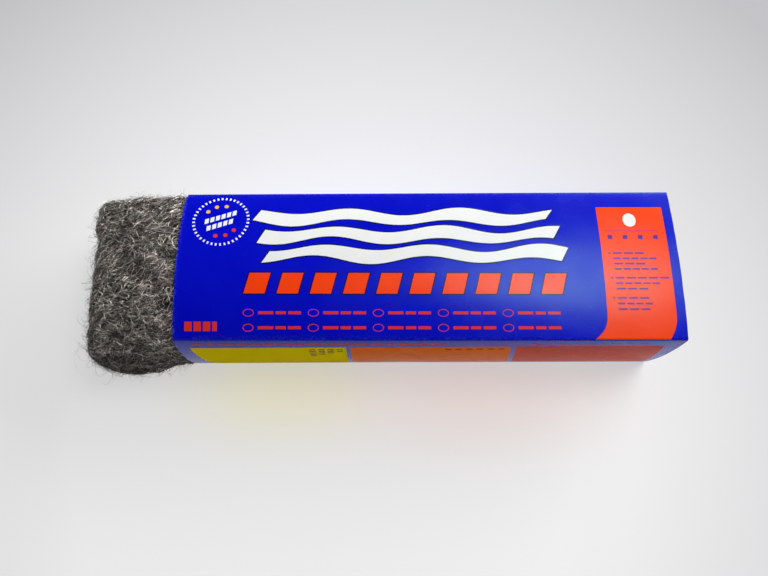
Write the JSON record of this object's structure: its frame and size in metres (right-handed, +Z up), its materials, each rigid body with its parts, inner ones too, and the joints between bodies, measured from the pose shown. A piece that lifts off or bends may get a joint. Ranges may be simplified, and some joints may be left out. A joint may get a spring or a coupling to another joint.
{
  "type": "steel wool pad",
  "caption": "Pad of coarse steel wool held in an open-ended folded card sleeve, with the wool sticking out of one end.",
  "frame": {"origin": "centre of the card sleeve's underside, on the surface that it rests on", "axes": "+X runs along the sleeve, away from the end where the wool sticks out; +Y runs away from the near side panel; +Z is up"},
  "size_m": [0.3009, 0.096, 0.0601],
  "materials": {
    "steel_wool": "satin",
    "printed_card": "gloss"
  },
  "bodies": {
    "root": {"wool_pad": "steel_wool", "card_sleeve": "printed_card"}
  },
  "joints": []
}
